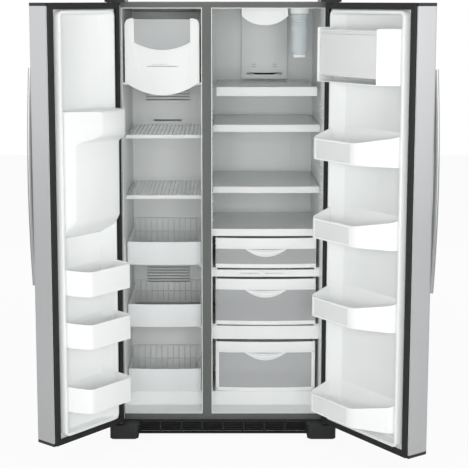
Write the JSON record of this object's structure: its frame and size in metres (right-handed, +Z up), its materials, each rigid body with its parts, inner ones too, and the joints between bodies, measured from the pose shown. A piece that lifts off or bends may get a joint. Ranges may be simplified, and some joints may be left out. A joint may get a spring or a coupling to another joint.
{
  "type": "side by side refrigerator",
  "caption": "Tall side by side refrigerator with both doors open, wire freezer shelves and baskets, glass shelves, clear drawers, door bins and a door dispenser.",
  "frame": {"origin": "floor level, under the middle of the overall box with both doors open; the cabinet's middle plane is 27.5 mm to -X of it and the cabinet's front face 132.5 mm to -Y", "axes": "+Z up, the doors face -Y, +X to the right of someone facing the doors"},
  "size_m": [1.5327, 1.237, 1.765],
  "materials": {
    "case_grey": "satin",
    "frame_grey": "satin",
    "zinc": "zinc plated",
    "stainless": "brushed along the height",
    "white_plastic": "satin",
    "clear_plastic": "clear moulded plastic",
    "shelf_glass": "tempered sheet",
    "foam": "rigid foam",
    "black_plastic": "fine grain",
    "gasket": "soft",
    "white_wire": "plastic coated wire",
    "steel": "plain",
    "black_metal": "satin",
    "aluminium": "mill"
  },
  "bodies": {
    "cabinet": {"case_wrapper": "case_grey", "front_frame": "frame_grey", "back_panel": "zinc", "insulation": "foam", "freezer_liner": "white_plastic", "fresh_liner": "white_plastic", "base_pan": "zinc", "levelling_legs": "steel", "base_grille": "black_plastic", "hinge_brackets": "steel", "hinge_covers": "black_plastic", "machine_cover": "zinc", "cord_gland": "black_plastic", "compressor": "black_metal", "condenser": "black_metal", "condenser_shroud": "black_plastic", "drain_pan": "black_plastic", "water_valve": "white_plastic", "evaporator_cover": "white_plastic", "evaporator": "aluminium", "ice_maker": "white_plastic", "wire_shelves": "white_wire", "light_cover": "white_plastic", "air_tower": "white_plastic", "filter_head": "white_plastic", "shelf_tracks": "white_wire", "shelf_trims": "white_plastic", "shelf_glass": "shelf_glass", "crisper_frames": "white_plastic"},
    "freezer_door": {"freezer_door_caps": "black_plastic", "freezer_door_skin": "stainless", "freezer_door_foam": "foam", "freezer_door_liner": "white_plastic", "freezer_door_gasket": "gasket", "freezer_door_handle": "stainless", "freezer_door_bins": "white_plastic", "dispenser_panel": "black_plastic", "drip_tray": "black_plastic"},
    "fresh_door": {"fresh_door_caps": "black_plastic", "fresh_door_skin": "stainless", "fresh_door_foam": "foam", "fresh_door_liner": "white_plastic", "fresh_door_gasket": "gasket", "fresh_door_handle": "stainless", "fresh_door_bins": "clear_plastic"},
    "rear_rollers": {"rear_rollers": "black_plastic"},
    "condenser_fan": {"condenser_fan": "black_plastic"},
    "evaporator_fan": {"evaporator_fan": "white_plastic"},
    "ice_bucket": {"ice_bucket": "white_plastic"},
    "ice_auger": {"ice_auger": "steel"},
    "humidity_slider": {"humidity_slider": "white_plastic"},
    "water_filter": {"water_filter": "clear_plastic"},
    "dispenser_paddle": {"dispenser_paddle": "black_plastic"},
    "dairy_cover": {"dairy_cover": "clear_plastic"},
    "basket_1": {"basket_1": "white_wire"},
    "basket_2": {"basket_2": "white_wire"},
    "basket_3": {"basket_3": "white_wire"},
    "crisper_1": {"crisper_1": "clear_plastic"},
    "crisper_2": {"crisper_2": "clear_plastic"},
    "crisper_3": {"crisper_3": "clear_plastic"}
  },
  "joints": [
    {"name": "freezer_door_hinge", "type": "hinge", "parent": "cabinet", "child": "freezer_door", "pos_m": [-0.4615, -0.1865, 0.9], "axis": [0, 0, -1], "range_deg": [-129.8, 5]},
    {"name": "fresh_door_hinge", "type": "hinge", "parent": "cabinet", "child": "fresh_door", "pos_m": [0.4065, -0.1865, 0.9], "axis": [0, 0, 1], "range_deg": [-124.6, 5]},
    {"name": "basket_1_slide", "type": "slide", "parent": "cabinet", "child": "basket_1", "axis": [0, -1, 0], "range_m": [0, 0.25]},
    {"name": "basket_2_slide", "type": "slide", "parent": "cabinet", "child": "basket_2", "axis": [0, -1, 0], "range_m": [0, 0.25]},
    {"name": "basket_3_slide", "type": "slide", "parent": "cabinet", "child": "basket_3", "axis": [0, -1, 0], "range_m": [0, 0.25]},
    {"name": "crisper_1_slide", "type": "slide", "parent": "cabinet", "child": "crisper_1", "axis": [0, -1, 0], "range_m": [0, 0.25]},
    {"name": "crisper_2_slide", "type": "slide", "parent": "cabinet", "child": "crisper_2", "axis": [0, -1, 0], "range_m": [0, 0.25]},
    {"name": "crisper_3_slide", "type": "slide", "parent": "cabinet", "child": "crisper_3", "axis": [0, -1, 0], "range_m": [0, 0.25]},
    {"name": "ice_bucket_slide", "type": "slide", "parent": "cabinet", "child": "ice_bucket", "axis": [0, -1, 0], "range_m": [0, 0.28]},
    {"name": "ice_auger_spin", "type": "hinge", "parent": "ice_bucket", "child": "ice_auger", "pos_m": [-0.268, 0.1035, 1.475], "axis": [0, 1, 0], "continuous": true},
    {"name": "dairy_cover_hinge", "type": "hinge", "parent": "fresh_door", "child": "dairy_cover", "pos_m": [0.44781, -0.46475, 1.641], "axis": [-0.5678, 0.8231, 0], "range_deg": [0, 95]},
    {"name": "humidity_slide", "type": "slide", "parent": "cabinet", "child": "humidity_slider", "axis": [1, 0, 0], "range_m": [-0.07, 0.07]},
    {"name": "water_filter_twist", "type": "hinge", "parent": "cabinet", "child": "water_filter", "pos_m": [0.2815, 0.0335, 1.61], "axis": [0, 0, 1], "range_deg": [0, 90]},
    {"name": "dispenser_paddle_hinge", "type": "hinge", "parent": "freezer_door", "child": "dispenser_paddle", "pos_m": [-0.61654, -0.2851, 1.324], "axis": [-0.6401, -0.7683, 0], "range_deg": [0, 12], "stiffness_Nm_per_rad": 0.4},
    {"name": "condenser_fan_spin", "type": "hinge", "parent": "cabinet", "child": "condenser_fan", "pos_m": [-0.0435, 0.4685, 0.172], "axis": [1, 0, 0], "continuous": true},
    {"name": "evaporator_fan_spin", "type": "hinge", "parent": "cabinet", "child": "evaporator_fan", "pos_m": [-0.268, 0.4585, 1.05], "axis": [0, 1, 0], "continuous": true},
    {"name": "rear_rollers_spin", "type": "hinge", "parent": "cabinet", "child": "rear_rollers", "pos_m": [-0.0275, 0.5285, 0.025], "axis": [1, 0, 0], "continuous": true}
  ]
}
